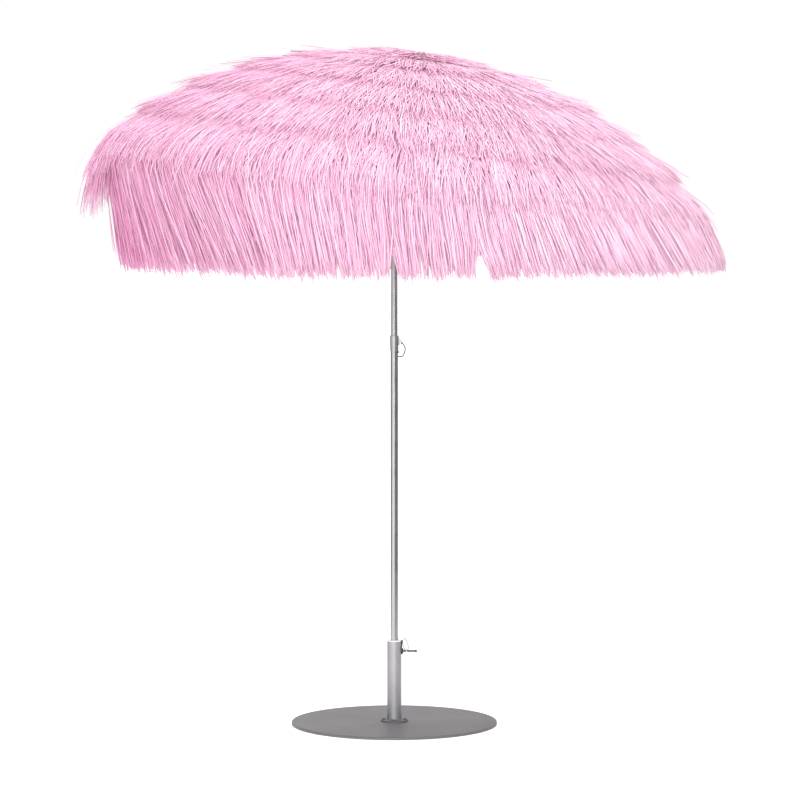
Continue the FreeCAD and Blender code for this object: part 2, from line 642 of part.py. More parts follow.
def rib(azimuth):
    """A rod bent to an arc, with an eye at the hub, a plastic cap on its tip and a riveted clip."""
    shape = rib_geometry()
    centre = shape["centre"]
    spoke = shape["hinge"].sub(centre)
    start_angle = math.degrees(RIB_START / RIB_ARC_RADIUS)
    cap_angle = math.degrees(RIB_CAP_LENGTH / RIB_ARC_RADIUS)
    start = centre.add(FreeCAD.Rotation(Y_AXIS, start_angle).multVec(spoke))
    rod = arc_bar(centre, start, shape["arc_angle"] - 2 * start_angle, RIB_WIRE)
    rod = rod.cut(bar_y(RING_HOLE_RADIUS, EYE_RADIUS, x=shape["hinge"].x, z=shape["hinge"].z))
    rod = rod.fuse(eye_end(shape["hinge"], RIB_EYE_HALF_WIDTH, RING_HOLE_RADIUS)).removeSplitter()
    cap_start = centre.add(FreeCAD.Rotation(Y_AXIS, shape["arc_angle"] - cap_angle).multVec(spoke))
    cap = arc_bar(centre, cap_start, cap_angle, RIB_CAP_RADIUS)
    cap = cap.fuse(Part.makeSphere(RIB_CAP_RADIUS, shape["tip"])).cut(rod)
    return in_canopy(Part.makeCompound([rod, cap, rib_clip(shape, rod), clip_rivet(shape)]), azimuth)


def along_rib(body, shape):
    """Turns a clip drawn upright, with the rib along X through the origin, into its place."""
    slope = math.degrees(math.atan2(shape["clip"].z - shape["centre"].z,
                                    shape["clip"].x - shape["centre"].x))
    body.rotate(ORIGIN, Y_AXIS, 90 - slope)
    body.translate(shape["clip"])
    return body


def rib_clip(shape, rod):
    """A folded clip that grips the rod, with two cheeks below it for the stretcher's rivet."""
    body = block(-CLIP_HALF_LENGTH, CLIP_HALF_LENGTH, CLIP_HALF_WIDTH, -CLIP_DROP, CLIP_TOP)
    body = body.fuse(bar_y(CLIP_CHEEK_RADIUS, CLIP_HALF_WIDTH, z=-CLIP_DROP))
    body = body.cut(block(-BEYOND, BEYOND, CLIP_HALF_GAP, -BEYOND, CLIP_ROOF))
    body = body.cut(bar_y(RIVET_RADIUS, BEYOND, z=-CLIP_DROP))
    return along_rib(body.removeSplitter(), shape).cut(rod)


def clip_rivet(shape):
    rivet = bar_y(RIVET_RADIUS, CLIP_HALF_WIDTH, z=-CLIP_DROP)
    heads = bar_y(RIVET_HEAD_RADIUS, CLIP_HALF_WIDTH + RIVET_HEAD_HEIGHT, z=-CLIP_DROP)
    heads = heads.cut(block(-BEYOND, BEYOND, CLIP_HALF_WIDTH, -BEYOND, BEYOND))
    return along_rib(rivet.fuse(heads).removeSplitter(), shape)


def stretcher(azimuth):
    """A rod with a flattened eye at each end: on the clip's rivet and in the runner's slot."""
    pivot = rib_geometry()["pivot"]
    inner = linkage()["runner"]
    length = linkage()["length"]
    flat = STRETCHER_EYE_HALF_WIDTH
    rod_low = STRETCHER_NECK - EYE_RADIUS
    body = Part.makeCylinder(STRETCHER_WIRE, length - 2 * rod_low, Vector(rod_low, 0, 0), X_AXIS)
    high = STRETCHER_NECK_HALF_HEIGHT
    body = body.fuse([
        bar_y(EYE_RADIUS, flat),
        block(RIVET_RADIUS, STRETCHER_NECK, flat, -high, high),
        bar_y(EYE_RADIUS, flat, x=length),
        block(length - STRETCHER_NECK, length - RIVET_RADIUS, flat, -high, high),
    ])
    body = body.cut(bar_y(RIVET_RADIUS + CLOSE_FIT, BEYOND))
    body = body.cut(bar_y(RING_HOLE_RADIUS, BEYOND, x=length)).removeSplitter()
    along = inner.sub(pivot)
    body.rotate(ORIGIN, Y_AXIS, -math.degrees(math.atan2(along.z, along.x)))
    body.translate(pivot)
    return in_canopy(body, azimuth)


# ---------------------------------------------------------------- soft covering

def sector(shape, reach):
    """Keeps the part of a shape within one gore's angle about the X axis."""
    half = math.radians(GORE_HALF_ANGLE)
    deep = Vector(0, 0, -reach)
    right = deep.add(Vector(reach, -reach * math.tan(half), 0))
    left = deep.add(Vector(reach, reach * math.tan(half), 0))
    wedge = Part.Face(Part.makePolygon([deep, right, left, deep])).extrude(Z_AXIS * (2 * reach))
    return shape.common(wedge)


def thatch(azimuth):
    centre = Vector(0, 0, THATCH_TOP - THATCH_RADIUS)
    shell = Part.makeSphere(THATCH_RADIUS, centre).cut(Part.makeSphere(THATCH_RADIUS - SHELL, centre))
    inside_rim = ring(THATCH_RIM, THATCH_EYE, 0, THATCH_TOP + BEYOND)
    return in_canopy(sector(shell.common(inside_rim), THATCH_RADIUS), azimuth)


def sector_outline(place, centre, radius, azimuth):
    """A closed outline of a thin ring sector, given how its plane is placed."""
    half = GORE_HALF_ANGLE
    points = []
    for distance, turn in ((radius, -half), (radius, 0), (radius, half),
                           (radius - SHELL, half), (radius - SHELL, 0), (radius - SHELL, -half)):
        angle = math.radians(azimuth + turn)
        flat = Vector(distance * math.cos(angle), distance * math.sin(angle), 0)
        points.append(place(centre.add(flat)))
    outer = Part.Arc(points[0], points[1], points[2]).toShape()
    inner = Part.Arc(points[3], points[4], points[5]).toShape()
    return Part.Wire([outer, Part.makeLine(points[2], points[3]), inner,
                      Part.makeLine(points[5], points[0])])


def valance(azimuth):
    """The fringe below the rim: from the leaning rim down to a level lower edge."""
    rim_z = THATCH_TOP - THATCH_RADIUS + math.sqrt((THATCH_RADIUS - SHELL) ** 2 - THATCH_RIM ** 2)
    lean = FreeCAD.Rotation(Y_AXIS, TILT)

    def on_rim(point):
        return lean.multVec(point).add(Vector(0, 0, PIVOT_Z))

    top = sector_outline(on_rim, Vector(0, 0, rim_z - FRINGE_GAP), THATCH_RIM, azimuth)
    low_centre = Vector(FRINGE_BOTTOM_X, 0, FRINGE_BOTTOM_Z)
    low = sector_outline(lambda point: point, low_centre, FRINGE_BOTTOM_RADIUS, azimuth)
    return Part.makeLoft([top, low], True, True)


def all_nodes():
    nodes = {
        "base_plate": base_plate(),
        "foot_flange": foot_flange(),
        "flange_screws": flange_screws(),
        "base_tube": base_tube(),
        "tube_foot_cup": tube_foot_cup(),
        "reducer_insert": reducer_insert(),
        "clamp_boss": clamp_boss(),
        "clamp_screw": clamp_screw(),
        "clamp_ring": clamp_ring(),
        "lower_pole": lower_pole(),
        "pole_foot_plug": pole_foot_plug(),
        "pole_rivet": pole_rivet(),
        "pole_collar": pole_collar(),
        "height_pin": height_pin(),
        "upper_pole": upper_pole(),
        "upper_pole_bush": upper_pole_bush(),
        "tilt_lower_knuckle": tilt_lower_knuckle(),
        "tilt_upper_knuckle": tilt_upper_knuckle(),
        "tilt_pin": tilt_pin(),
        "tilt_button": tilt_button(),
        "canopy_pole": canopy_pole(),
        "top_notch": top_notch(),
        "notch_ring": notch_ring(),
        "top_cap": top_cap(),
        "runner": runner(),
        "runner_latch": runner_latch(),
    }
    for number in range(RIB_COUNT):
        azimuth = number * 360.0 / RIB_COUNT
        nodes["rib_%d" % (number + 1)] = rib(azimuth)
        nodes["stretcher_%d" % (number + 1)] = stretcher(azimuth)
        nodes["thatch_%d" % (number + 1)] = thatch(azimuth)
        nodes["valance_%d" % (number + 1)] = valance(azimuth)
    return nodes


def main():
    os.makedirs("parts", exist_ok=True)
    for name, shape in all_nodes().items():
        shape.exportStep("parts/%s.step" % name)
        valid = "valid" if shape.isValid() else "NOT VALID"
        print("%-20s %2d solids %12.0f mm3 %s" % (name, len(shape.Solids), shape.Volume, valid))
    moves = linkage()
    print("runner travel %.2f, stretcher length %.2f, stretcher turn %.2f, folded drop %.2f"
          % (moves["travel"], moves["length"], moves["stretcher_turn"], moves["folded_drop"]))


if __name__ == "__main__":
    main()
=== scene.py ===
import json
import math

import bpy
import numpy as np
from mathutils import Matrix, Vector

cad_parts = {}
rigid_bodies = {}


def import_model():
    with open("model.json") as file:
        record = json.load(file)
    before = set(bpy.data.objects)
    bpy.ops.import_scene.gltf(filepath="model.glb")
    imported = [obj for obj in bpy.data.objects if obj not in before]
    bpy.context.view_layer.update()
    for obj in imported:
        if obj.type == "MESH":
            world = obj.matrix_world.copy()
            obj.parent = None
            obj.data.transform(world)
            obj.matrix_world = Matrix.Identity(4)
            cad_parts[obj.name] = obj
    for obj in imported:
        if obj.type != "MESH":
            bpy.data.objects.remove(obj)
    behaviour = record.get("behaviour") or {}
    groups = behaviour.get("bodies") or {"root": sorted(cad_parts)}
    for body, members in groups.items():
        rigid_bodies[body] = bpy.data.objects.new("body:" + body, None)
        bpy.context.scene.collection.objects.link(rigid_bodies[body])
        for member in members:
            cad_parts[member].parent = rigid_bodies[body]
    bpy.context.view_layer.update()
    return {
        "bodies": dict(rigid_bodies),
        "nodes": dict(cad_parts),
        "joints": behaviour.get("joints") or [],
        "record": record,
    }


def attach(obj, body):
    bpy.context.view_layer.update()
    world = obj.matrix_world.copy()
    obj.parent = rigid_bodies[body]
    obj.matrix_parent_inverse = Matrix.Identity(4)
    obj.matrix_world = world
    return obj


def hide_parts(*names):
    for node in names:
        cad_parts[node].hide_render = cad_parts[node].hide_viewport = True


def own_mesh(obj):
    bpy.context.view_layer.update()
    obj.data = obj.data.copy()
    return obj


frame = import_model()

# ---------------------------------------------------------------- places, from the frame

JOINTS = {joint["name"]: joint for joint in frame["joints"]}
RIBS = sum(1 for name in frame["bodies"] if name.startswith("rib_"))
PIVOT = np.array(JOINTS["canopy_tilt"]["pos_m"])
UP = -np.array(JOINTS["runner_slide"]["axis"])          # the canopy's own axis, leaning
ACROSS = np.array((UP[2], 0.0, -UP[0]))                 # the canopy's own +X
SIDEWAYS = np.array((0.0, 1.0, 0.0))
SECTOR = 2 * math.pi / RIBS

# ---------------------------------------------------------------- driving dimensions, metres

OUTER_RADIUS = 1.290          # sphere of the covering's outside
LINING_RADIUS = 1.2685        # sphere of the woven lining, which lies on the ribs
DOME_TOP = 0.592              # the outside's top, above the tilt pivot along the axis
RIM_REACH = 0.870             # the rim's radius on the outside
RIM_ANGLE = math.asin(RIM_REACH / OUTER_RADIUS)
RIM_ARC = LINING_RADIUS * RIM_ANGLE
HUB_HOLE = 0.032

ROW_TIPS = (0.190, 0.345, 0.500, 0.655, 0.810, 0.975)   # where each sewn row's strips end, along the dome
ROW_LENGTH = 0.245
ROW_RISE = 0.019              # how far a row's tips stand off the lining
ROW_DENSITY = 1100            # strips per metre of sewn line
CROWN_STRIPS = 1500           # short strips that cover the cap in the middle
CROWN_REACH = 0.125
CROWN_HEIGHT = 0.0095         # over the cap, which stands above the lining
CROWN_DEPTH = 0.016
CROWN_RISE = 0.003
STRIP_WIDTH = 0.0038
STRIP_THICKNESS = 0.0006
ROW_POINTS = 6                # points along a strip's centre line
LAST_ROW_POINTS = 8
FRINGE_POINTS = 10

ROOT_SPREAD = 0.006           # the roof strips' spreads, and how much smooth clumps and swirls add
ROOT_INSET = 0.004
LENGTH_SPREAD = 0.09
LENGTH_CLUMPS = 0.020
SKEW_SPREAD = 0.12
SKEW_SWIRLS = 0.10
SKEW_CLUMPS = 0.08
RISE_SPREAD = 0.003
RISE_CLUMPS = 0.005
LAST_ROW_RISE = 0.7           # the last row's rise, as a share of the others'
LOOSE_SHARE = 0.10            # strips that stand off the roof
LOOSE_FLARE = 0.028
TOP_LOOSE_FLARE = 0.010
LOOSE_STRETCH = 1.15
FLARE_LIFT = 4                # how far a loose strip's direction lifts past the rim, per metre of flare
ROW_LIMPNESS = (0.10, 0.20)   # length over which a strip past the rim turns to hang
ROW_HEIGHTS = (0.001, 0.004)
ROW_WANDER = 0.12             # how much a strip wanders sideways along its length
ROW_TWIST = 0.30

TUFT_AZIMUTH = math.pi        # a stiff tuft sticks out past the rim on the high side
TUFT_HALF_ANGLE = 0.34
TUFT_LENGTH = 0.190
TUFT_FULLNESS = 1.6           # how quickly the tuft thickens from its edges to its middle
TUFT_SHARE = 0.9              # strips of the last row there that take part
TUFT_SHORTEST = 0.55          # as a share of the longest
TUFT_LIMPNESS = 0.004

FRINGE_LEVEL = 1.345          # height of the fringe's lower edge
FRINGE_DENSITY = 520          # strips per metre of rim, in each layer
FRINGE_LAYERS = 4
FRINGE_SPREAD = 0.009         # scatter of the strips' lower ends
FRINGE_CLUMPS = 0.013
FRINGE_SHORT = 0.05           # how much a few strips stop short
FRINGE_INSETS = (0.004, 0.020)
FRINGE_INNER = -0.004         # height of the innermost layer over the lining
FRINGE_DEPTH = 0.012
FRINGE_SKEW = 0.08
FRINGE_LIMPNESS = (0.026, 0.045)
OUTER_LIMPNESS = 0.02
LOW_SIDE_LIMPNESS = 0.05
FRINGE_WANDER = 0.24
FRINGE_TWIST = 0.5
FITTING_PASSES = 3            # rounds that fit the strips' lengths to the fringe's level
DRIFT = 0.13                  # sideways lean of the hanging strips towards +X
CORNER_DRIFT = 0.30           # and what is added between the front, back and sides
LOW_SIDE_DRIFT = 0.10
HIGH_SIDE_DRIFT = 0.06
DRIFT_SWIRLS = 0.06
DRIFT_SPREAD = 0.035
DRIFT_CLUMPS = 0.05
PARTINGS = (                  # gaps in the fringe's front: where along X, half width and height, metres
    (-0.262, 0.004, 0.045),
    (-0.146, 0.006, 0.060),
    (0.002, 0.012, 0.110),
    (0.098, 0.004, 0.040),
    (0.163, 0.005, 0.050),
    (0.240, 0.019, 0.075),
    (0.345, 0.004, 0.045),
)

LINING_THICKNESS = 0.0009
LINING_SAG = 0.006
TAPE_WIDTH = 0.014
TAPE_THICKNESS = 0.0008
HEM_WIDTH = 0.028
POCKET_LENGTH = 0.055
POCKET_HALF_WIDTH = 0.016
POCKET_DEPTH = 0.0085

RAFFIA_GLOW = 0.13            # stands for the light that passes through the thin strips
SIDE_LIGHT_AND_SHADE = 0.10                  # painted light and shade: how much paler the strips are painted on the low side, which the key lamp lights, than on the high side, which lies in shade
TINT_MIDDLE = 0.50
TINT_SPREAD = 0.13
TINT_CLUMPS = 0.07
TINT_MOST = 0.85              # palest tone of a strip that isn't a glint
GLINT_SHARE = 0.035

RAFFIA_TONES = ((0.79, 0.35, 0.57), (0.83, 0.52, 0.67), (0.87, 0.61, 0.74), (0.93, 0.84, 0.89))
LINING_TONES = ((0.80, 0.40, 0.62), (0.87, 0.49, 0.70))
TAPE_TONES = ((0.74, 0.33, 0.56), (0.82, 0.41, 0.63))
PLATE_TONES = ((0.122, 0.122, 0.126), (0.148, 0.148, 0.152))
WHITE = (1.0, 1.0, 1.0)

CAMERA_PLACE = (0.0165, -11.0, 1.76)
CAMERA_PITCH = 4.216          # degrees below level
CAMERA_LENS = 170.7
FLOOR_SIZE = 80
FLOOR_GAP = 0.0005            # under the plate
FLOOR_GLOW = 0.35
WORLD_LIGHT = 1.02
LIGHTS = (                    # name, place, target, diameter, power
    ("key", (3.5, -5.5, 4.8), (0, 0, 1.5), 3.0, 250),
    ("front", (-1.0, -9.0, 3.4), (0, 0, 1.4), 5.0, 300),
    ("back", (-1.0, 3.6, 7.0), (0, 0, 1.5), 3.0, 130),
)
CARD_DISTANCE = 2.3
CARD_HEIGHT = 1.25
CARDS = (                     # name, azimuth in degrees, width, tone
    ("card_right", 40, 3.1, 0.27),
    ("card_far_right", 108, 3.0, 0.27),
    ("card_left", -112, 2.2, 0.10),
)

SEED = 488


# ---------------------------------------------------------------- small helpers

def to_row(local):
    """Points in the canopy's own upright frame, about the tilt pivot, to the row frame."""
    return turn_to_row(local) + PIVOT


def turn_to_row(local):
    """Directions in the canopy's own upright frame to the row frame."""
    return local @ np.array([ACROSS, SIDEWAYS, UP])


def dome_point(arc, azimuth, height):
    """A point on the dome: arc from the top along the lining, azimuth, and height over the lining."""
    angle = arc / LINING_RADIUS
    reach = (LINING_RADIUS + height) * np.sin(angle)
    rise = (LINING_RADIUS + height) * np.cos(angle) + DOME_TOP - OUTER_RADIUS
    return to_row(np.stack([reach * np.cos(azimuth), reach * np.sin(azimuth), rise], axis=-1))


def dome_normal(arc, azimuth):
    angle = arc / LINING_RADIUS
    local = np.stack([np.sin(angle) * np.cos(azimuth), np.sin(angle) * np.sin(azimuth),
                      np.cos(angle) + 0 * azimuth], axis=-1)
    return turn_to_row(local)


def down_slope(arc, azimuth):
    angle = arc / LINING_RADIUS
    local = np.stack([np.cos(angle) * np.cos(azimuth), np.cos(angle) * np.sin(azimuth),
                      -np.sin(angle) + 0 * azimuth], axis=-1)
    return turn_to_row(local)


def unit(vectors):
    return vectors / np.maximum(np.linalg.norm(vectors, axis=-1, keepdims=True), 1e-9)


def smooth_noise(rng, waves, lowest, highest):
    """A smooth periodic function of azimuth, about -1 to 1, made of a few sines."""
    numbers = rng.integers(lowest, highest, waves)
    phases = rng.uniform(0, 2 * math.pi, waves)
    weights = rng.uniform(0.4, 1.0, waves)

    def value(azimuth):
        total = sum(w * np.sin(n * azimuth + p) for n, p, w in zip(numbers, phases, weights))
        return total / weights.sum() * 1.6
    return value


def sector_of(azimuth):
    """The number, from 1, of the rib nearest to each azimuth."""
    return np.floor(azimuth / SECTOR + 0.5).astype(int) % RIBS + 1


# ---------------------------------------------------------------- materials

class Nodes:
    """A short way to build a material's nodes."""

    def __init__(self, name, **values):
        self.material = bpy.data.materials.new(name)
        self.material.use_nodes = True
        self.tree = self.material.node_tree
        self.shader = self.tree.nodes["Principled BSDF"]
        for key, value in values.items():
            self.shader.inputs[key.replace("_", " ")].default_value = value

    def add(self, kind, **values):
        node = self.tree.nodes.new(kind)
        for key, value in values.items():
            if key in node.inputs:
                node.inputs[key].default_value = value
            elif key.replace("_", " ") in node.inputs:
                node.inputs[key.replace("_", " ")].default_value = value
            else:
                setattr(node, key, value)
        return node

    def link(self, source, target):
        self.tree.links.new(source, target)

    def place(self, scale=(1, 1, 1), rotation=(0, 0, 0)):
        """Object coordinates, stretched."""
        coordinates = self.add("ShaderNodeTexCoord")
        mapping = self.add("ShaderNodeMapping")
        mapping.inputs["Scale"].default_value = scale
        mapping.inputs["Rotation"].default_value = rotation
        self.link(coordinates.outputs["Object"], mapping.inputs["Vector"])
        return mapping.outputs["Vector"]

    def noise(self, vector, scale, detail=4.0, roughness=0.55):
        node = self.add("ShaderNodeTexNoise", Scale=scale, Detail=detail, Roughness=roughness)
        self.link(vector, node.inputs["Vector"])
        return node.outputs["Fac"]

    def ramp(self, source, stops):
        node = self.add("ShaderNodeValToRGB")
        elements = node.color_ramp.elements
        elements[0].position, elements[0].color = stops[0][0], (*stops[0][1], 1)
        elements[1].position, elements[1].color = stops[-1][0], (*stops[-1][1], 1)
        for position, colour in stops[1:-1]:
            element = elements.new(position)
            element.color = (*colour, 1)
        self.link(source, node.inputs["Fac"])
        return node.outputs["Color"]

    def remap(self, source, low, high, start=0.0, end=1.0):
        node = self.add("ShaderNodeMapRange")
        node.inputs["From Min"].default_value = start
        node.inputs["From Max"].default_value = end
        node.inputs["To Min"].default_value = low
        node.inputs["To Max"].default_value = high
        self.link(source, node.inputs["Value"])
        return node.outputs["Result"]

    def mix(self, factor, first, second, blend="MIX"):
        node = self.add("ShaderNodeMix", data_type="RGBA", blend_type=blend)
        for socket, value in ((node.inputs[0], factor), (node.inputs[6], first), (node.inputs[7], second)):
            if hasattr(value, "is_output"):
                self.link(value, socket)
            elif isinstance(value, tuple):
                socket.default_value = (*value, 1)
            else:
                socket.default_value = value
        return node.outputs[2]

    def bump(self, height, distance, strength=1.0, after=None):
        node = self.add("ShaderNodeBump", Distance=distance, Strength=strength)
        self.link(height, node.inputs["Height"])
        if after is not None:
            self.link(after, node.inputs["Normal"])
        return node.outputs["Normal"]

    def finish(self, colour=None, roughness=None, normal=None):
        for source, name in ((colour, "Base Color"), (roughness, "Roughness"), (normal, "Normal")):
            if source is not None:
                self.link(source, self.shader.inputs[name])
        return self.material


def raffia_material(name, tones):
    """Glossy synthetic strips: each has its own tone, with fine lengthwise creases."""
    n = Nodes(name, Specular_IOR_Level=0.5)
    tint = n.add("ShaderNodeAttribute", attribute_name="tint").outputs["Fac"]
    tone = n.ramp(tint, list(zip((0.0, 0.45, 0.86, 0.97), tones)))
    patch = n.ramp(n.noise(n.place(), scale=7.0, detail=3.0), [(0.3, (0.97, 0.93, 0.955)), (0.7, WHITE)])
    colour = n.mix(1.0, tone, patch, "MULTIPLY")
    crease = n.noise(n.place((1, 1, 0.15)), scale=700.0, detail=2.0)
    rough = n.remap(crease, 0.34, 0.56, 0.3, 0.7)
    normal = n.bump(crease, 0.0004, 0.5)
    n.link(colour, n.shader.inputs["Emission Color"])
    n.shader.inputs["Emission Strength"].default_value = RAFFIA_GLOW
    return n.finish(colour, rough, normal)


def lining_material():
    """A plain woven cloth with a faint thread pattern."""
    n = Nodes("lining_cloth", Roughness=0.8, Sheen_Weight=0.25, Sheen_Roughness=0.5)
    vector = n.place()
    warp = n.add("ShaderNodeTexWave", Scale=260.0, Distortion=1.2, Detail=1.0, bands_direction="X")
    weft = n.add("ShaderNodeTexWave", Scale=260.0, Distortion=1.2, Detail=1.0, bands_direction="Y")
    n.link(vector, warp.inputs["Vector"])
    n.link(vector, weft.inputs["Vector"])
    weave = n.mix(0.5, warp.outputs["Color"], weft.outputs["Color"])
    tone = n.ramp(n.noise(vector, scale=6.0), [(0.3, LINING_TONES[0]), (0.7, LINING_TONES[1])])
    colour = n.mix(0.18, tone, weave, "MULTIPLY")
    return n.finish(colour, None, n.bump(weave, 0.0003, 0.6))


def tape_material():
    """Woven cotton-like tape."""
    n = Nodes("sewn_tape", Roughness=0.85, Sheen_Weight=0.2)
    vector = n.place()
    ribs = n.noise(vector, scale=900.0, detail=2.0)
    tone = n.ramp(n.noise(vector, scale=30.0), [(0.3, TAPE_TONES[0]), (0.7, TAPE_TONES[1])])
    colour = n.mix(0.25, tone, n.ramp(ribs, [(0.35, (0.5, 0.5, 0.5)), (0.65, WHITE)]), "MULTIPLY")
    return n.finish(colour, None, n.bump(ribs, 0.0003, 0.6))


def steel_material(name, tone, dark, roughness, grain=(1, 1, 0.02), grain_scale=900.0, spread=0.08):
    """Bright or satin steel with drawn or brushed lines and slight clouding."""
    n = Nodes(name, Metallic=1.0)
    lines = n.noise(n.place(grain), grain_scale, 3.0)
    clouds = n.noise(n.place(), 14.0, 5.0)
    colour = n.ramp(clouds, [(0.25, dark), (0.75, tone)])
    rough = n.add("ShaderNodeMath", operation="ADD")
    n.link(n.remap(lines, roughness - spread / 2, roughness + spread / 2, 0.3, 0.7), rough.inputs[0])
    n.link(n.remap(clouds, -spread / 2, spread / 2, 0.3, 0.7), rough.inputs[1])
    return n.finish(colour, rough.outputs[0], n.bump(lines, 0.00005, 0.4))


def plate_material():
    """Rolled steel plate with a satin coat, fine grain and slight clouding."""
    n = Nodes("plate_coat", Metallic=0.55, Specular_IOR_Level=0.5)
    fine = n.noise(n.place(), scale=420.0, detail=4.0)
    clouds = n.noise(n.place(), scale=5.0, detail=6.0)
    tone = n.ramp(clouds, [(0.3, PLATE_TONES[0]), (0.7, PLATE_TONES[1])])
    colour = n.mix(0.12, tone, n.ramp(fine, [(0.35, (0.1, 0.1, 0.1)), (0.65, (0.6, 0.6, 0.6))]))
    return n.finish(colour, n.remap(clouds, 0.42, 0.56, 0.3, 0.7), n.bump(fine, 0.00012, 0.35))


def plastic_material(name, tone, roughness):
    """Moulded plastic with a fine spark-eroded grain."""
    n = Nodes(name, Specular_IOR_Level=0.4)
    grain = n.noise(n.place(), scale=1500.0, detail=2.0)
    clouds = n.noise(n.place(), scale=40.0, detail=3.0)
    pale = tuple(min(1.0, c * 1.25 + 0.01) for c in tone)
    colour = n.ramp(clouds, [(0.3, tone), (0.7, pale)])
    return n.finish(colour, n.remap(clouds, roughness - 0.05, roughness + 0.05, 0.3, 0.7),
                    n.bump(grain, 0.00006, 0.4))


def paint_material(name, tone, roughness):
    """Coated steel: an even colour with slight orange peel."""
    n = Nodes(name, Specular_IOR_Level=0.5, Coat_Weight=0.2, Coat_Roughness=0.2)
    clouds = n.noise(n.place(), scale=25.0, detail=4.0)
    worn = tuple(c * 0.8 for c in tone)
    colour = n.ramp(clouds, [(0.3, worn), (0.6, tone)])
    peel = n.noise(n.place(), scale=600.0, detail=2.0)
    return n.finish(colour, n.remap(clouds, roughness - 0.06, roughness + 0.06, 0.3, 0.7),
                    n.bump(peel, 0.00005, 0.3))


def make_materials():
    return {
        "raffia": raffia_material("raffia_strips", RAFFIA_TONES),
        "lining": lining_material(),
        "tape": tape_material(),
        "plate_steel": plate_material(),
        "tube_steel": steel_material("tube_satin", (0.45, 0.45, 0.46), (0.38, 0.38, 0.39), 0.46),
        "pole_steel": steel_material("pole_bright", (0.44, 0.44, 0.45), (0.37, 0.37, 0.38), 0.25),
        "zinc": steel_material("zinc_plate", (0.16, 0.16, 0.165), (0.10, 0.10, 0.105), 0.36,
                               (1, 1, 1), 300.0),
        "collar_steel": steel_material("pressed_steel", (0.45, 0.45, 0.46), (0.34, 0.34, 0.35), 0.34,
                                       (1, 1, 1), 500.0),
        "black_metal": paint_material("black_paint", (0.018, 0.018, 0.019), 0.42),
        "black_plastic": plastic_material("black_moulding", (0.02, 0.02, 0.021), 0.5),
        "white_plastic": plastic_material("white_moulding", (0.72, 0.72, 0.71), 0.42),
        "rib_steel": paint_material("rib_coat", (0.66, 0.66, 0.67), 0.35),
    }


# ---------------------------------------------------------------- strips of raffia

def strip_mesh(name, centres, normals, widths, tints):
    """Many closed, thin, three-sided strips as one mesh. centres is (strips, points, 3)."""
    strips, points = centres.shape[:2]
    forward = unit(np.gradient(centres, axis=1))
    side = unit(np.cross(forward, normals))
    top = unit(np.cross(side, forward))
    half = side * widths[..., None] / 2
    ridge = top * STRIP_THICKNESS
    corners = np.stack([centres - half, centres + half, centres + ridge], axis=2)
    base = np.arange(strips)[:, None] * points * 3
    quads = []
    for point in range(points - 1):
        for corner in range(3):
            after = (corner + 1) % 3
            near, far = point * 3, point * 3 + 3
            quads.append([near + corner, near + after, far + after, far + corner])
    last = (points - 1) * 3
    quads = (base[:, None] + np.array(quads)[None]).reshape(-1, 4)
    ends = (base[:, None] + np.array([[0, 2, 1], [last, last + 1, last + 2]])[None]).reshape(-1, 3)
    mesh = bpy.data.meshes.new(name)
    mesh.vertices.add(strips * points * 3)
    mesh.vertices.foreach_set("co", corners.astype(np.float32).ravel())
    loops = np.concatenate([quads.ravel(), ends.ravel()]).astype(np.int32)
    starts = np.concatenate([np.arange(len(quads)) * 4, quads.size + np.arange(len(ends)) * 3])
    mesh.loops.add(len(loops))
    mesh.loops.foreach_set("vertex_index", loops)
    mesh.polygons.add(len(starts))
    mesh.polygons.foreach_set("loop_start", starts.astype(np.int32))
    mesh.update(calc_edges=True)
    tint = mesh.attributes.new("tint", "FLOAT", "POINT")
    tint.data.foreach_set("value", np.repeat(tints, points * 3).astype(np.float32))
    return mesh


def add_piece(name, mesh, material, body):
    piece = bpy.data.objects.new(name, mesh)
    bpy.context.scene.collection.objects.link(piece)
    mesh.materials.append(material)
    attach(piece, body)
    return piece


def grow(rng, arcs, azimuths, heights, lengths, count, skew, rise, flare, limp, drift, wander):
    """Centre lines of strips: each lies down the dome from its root and, past the rim, bends to hang."""
    strips = len(arcs)
    step = lengths / (count - 1)
    arc, azimuth = arcs.copy(), azimuths.copy()
    curl = rng.normal(0, wander, strips)
    wave = rng.uniform(0, 2 * math.pi, strips)
    place = dome_point(arc, azimuth, heights)
    direction = down_slope(arc, azimuth)
    normal = dome_normal(arc, azimuth)
    hang = unit(np.stack([drift, 0 * drift, -np.ones(strips)], axis=-1))
    centres, normals = [place], [normal]
    for number in range(1, count):
        share = number / (count - 1)
        lean = skew + curl * np.sin(wave + 5 * share)
        on_dome = arc < RIM_ARC
        reach = LINING_RADIUS * np.sin(arc / LINING_RADIUS)
        arc = arc + step * np.cos(lean)
        azimuth = azimuth + np.where(on_dome, step * np.sin(lean) / np.maximum(reach, 0.02), 0)
        height = heights + rise * share ** 0.8 + flare * share ** 2
        lying = dome_point(arc, azimuth, height)
        outward = down_slope(np.full(strips, RIM_ARC), azimuth)
        sideways = unit(np.cross(dome_normal(arc, azimuth), outward))
        lifted = dome_normal(arc, azimuth) * flare[:, None] * FLARE_LIFT
        start = unit(outward + sideways * np.tan(lean)[:, None] + lifted)
        direction = np.where(on_dome[:, None], start, direction)
        toward = unit(hang + sideways * (0.5 * curl * np.sin(wave + 7 * share))[:, None])
        blend = (1 - np.exp(-step / limp))[:, None]
        direction = unit(direction + (toward - direction) * blend)
        falling = place + direction * step[:, None]
        place = np.where((arc < RIM_ARC)[:, None], lying, falling)
        outside = unit(np.cross(sideways, direction))
        normal = np.where((arc < RIM_ARC)[:, None], dome_normal(arc, azimuth), -outside)
        centres.append(place)
        normals.append(normal)
    centres, normals = np.stack(centres, axis=1), np.stack(normals, axis=1)
    flip = np.sign((normals * dome_normal(arcs, azimuths)[:, None]).sum(-1, keepdims=True))
    return centres, normals * np.where(flip == 0, 1, flip)


